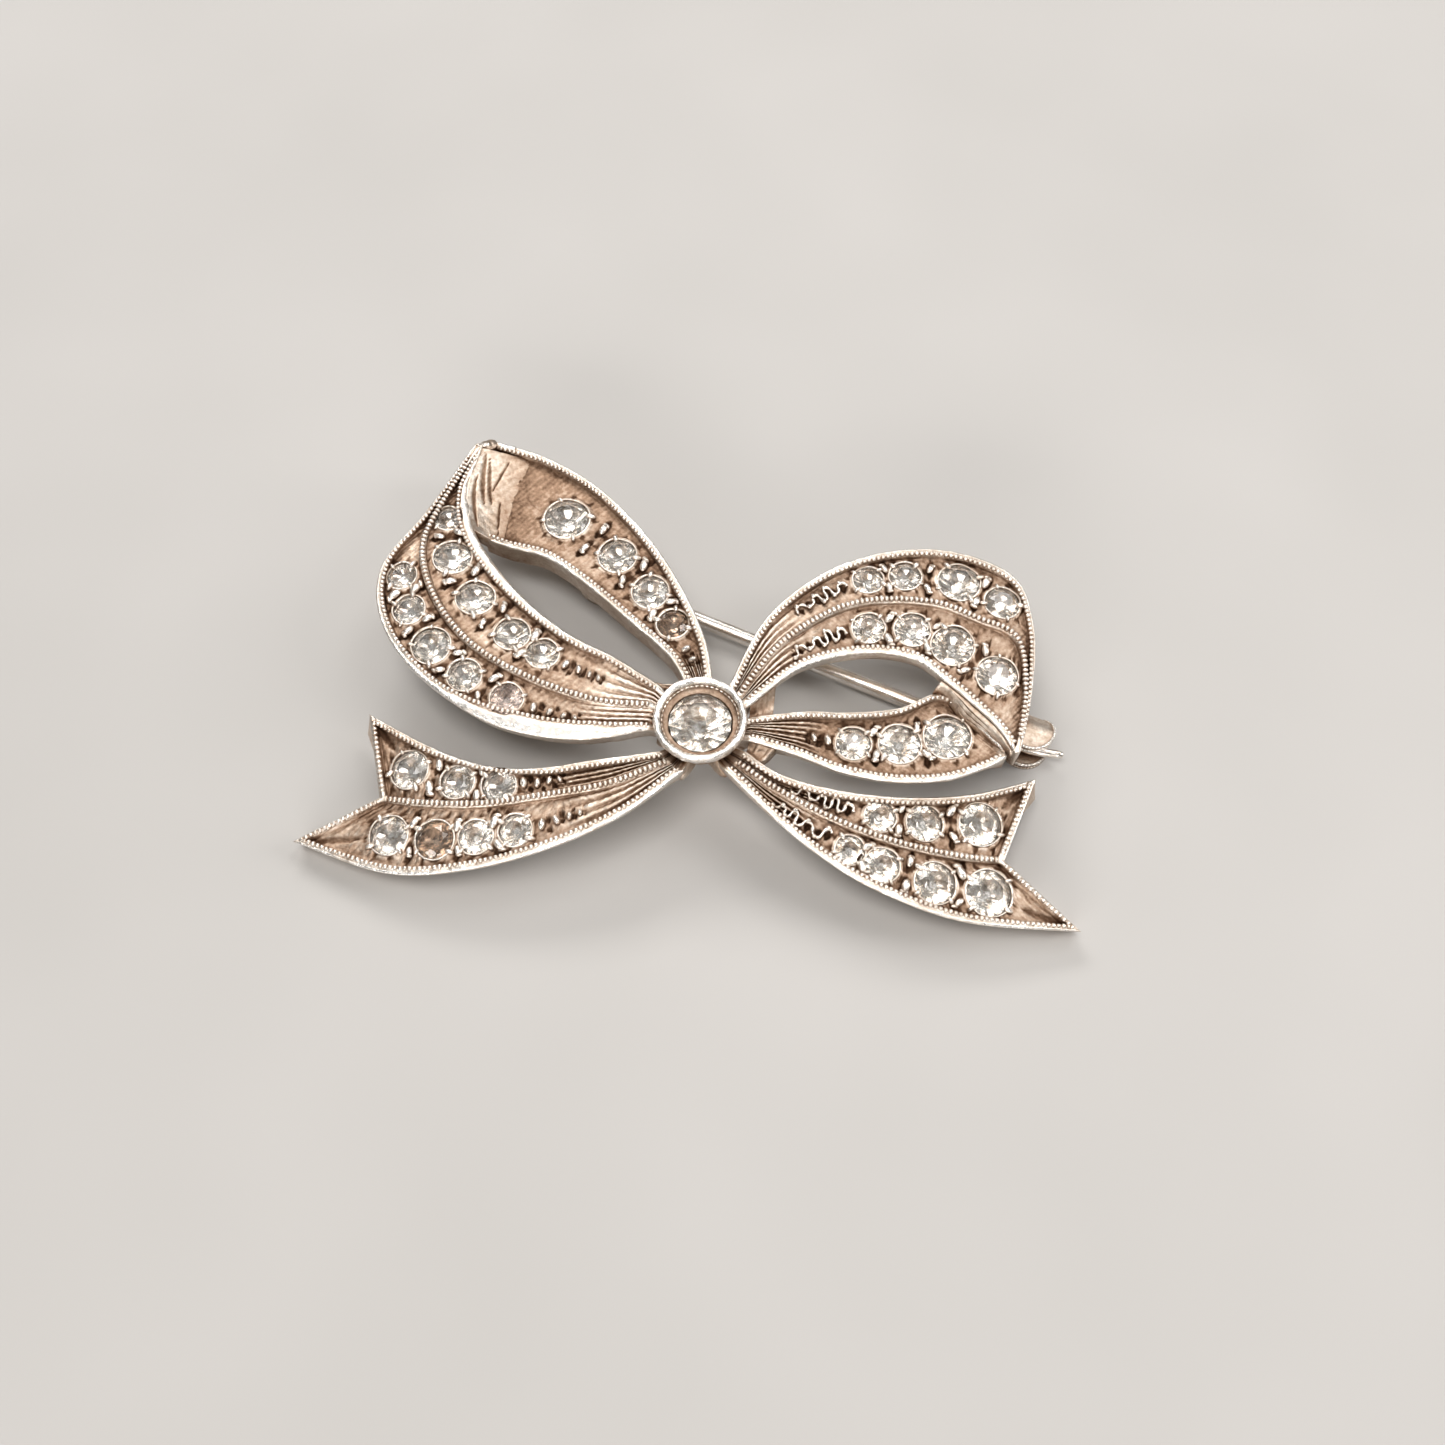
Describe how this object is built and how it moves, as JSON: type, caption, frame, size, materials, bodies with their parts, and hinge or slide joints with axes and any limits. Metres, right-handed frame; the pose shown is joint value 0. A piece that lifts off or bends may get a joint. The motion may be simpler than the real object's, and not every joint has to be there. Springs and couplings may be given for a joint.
{
  "type": "bow brooch",
  "caption": "Bow-shaped silver brooch set with faceted clear stones, with a round collet at the knot and a hinged pin and C-catch behind.",
  "frame": {"origin": "centre of the bounding box in plan, on the surface the brooch lies on", "axes": "+X along the bow's width to its right tail, +Y towards the tops of the loops, +Z out of the front of the brooch"},
  "size_m": [0.046, 0.0289, 0.0062],
  "materials": {
    "silver": "aged silver, rosy-brown in the recesses and bright on worn edges",
    "pin_wire": "drawn silver wire, fine scratches along its length",
    "paste": "faceted, foil-backed",
    "paste_smoky": "faceted, darkened foil",
    "paste_dull": "faceted, clouded"
  },
  "bodies": {
    "brooch": {"left_loop_front_band": "silver", "left_loop_return_band": "silver", "right_loop_front_band": "silver", "right_loop_return_band": "silver", "left_tail": "silver", "right_tail": "silver", "knot_plate": "silver", "centre_collet": "silver", "hinge_plate": "silver", "hinge_ear_upper": "silver", "hinge_ear_lower": "silver", "hinge_rivet": "silver", "catch_plate": "silver", "catch_hook": "silver", "centre_stone": "paste", "left_front_outer_stone_1": "paste_dull", "left_front_outer_stone_2": "paste", "left_front_outer_stone_3": "paste", "left_front_outer_stone_4": "paste", "left_front_outer_stone_5": "paste", "left_front_inner_stone_1": "paste", "left_front_inner_stone_2": "paste", "left_front_inner_stone_3": "paste", "left_front_inner_stone_4": "paste", "left_front_inner_stone_5": "paste", "left_return_stone_1": "paste_smoky", "left_return_stone_2": "paste", "left_return_stone_3": "paste", "left_return_stone_4": "paste", "right_front_outer_stone_1": "paste", "right_front_outer_stone_2": "paste", "right_front_outer_stone_3": "paste", "right_front_outer_stone_4": "paste", "right_front_inner_stone_1": "paste", "right_front_inner_stone_2": "paste", "right_front_inner_stone_3": "paste", "right_front_inner_stone_4": "paste", "right_return_stone_1": "paste", "right_return_stone_2": "paste", "right_return_stone_3": "paste", "left_tail_upper_stone_1": "paste", "left_tail_upper_stone_2": "paste", "left_tail_upper_stone_3": "paste", "left_tail_lower_stone_1": "paste", "left_tail_lower_stone_2": "paste", "left_tail_lower_stone_3": "paste_smoky", "left_tail_lower_stone_4": "paste", "right_tail_upper_stone_1": "paste", "right_tail_upper_stone_2": "paste", "right_tail_upper_stone_3": "paste", "right_tail_lower_stone_1": "paste", "right_tail_lower_stone_2": "paste", "right_tail_lower_stone_3": "paste", "right_tail_lower_stone_4": "paste"},
    "knuckle": {"pin_knuckle": "pin_wire"},
    "pin": {"pin_stem": "pin_wire"}
  },
  "joints": [
    {"name": "pin_swing", "type": "hinge", "parent": "brooch", "child": "knuckle", "pos_m": [-0.0082, 0.00725, 0.0009], "axis": [0.279, 0.9603, 0], "range_deg": [0, 75]},
    {"name": "pin_spring", "type": "hinge", "parent": "knuckle", "child": "pin", "pos_m": [-0.00676, 0.00683, 0.0009], "axis": [0, 0, -1], "range_deg": [0, 3.5], "stiffness_Nm_per_rad": 0.005}
  ]
}
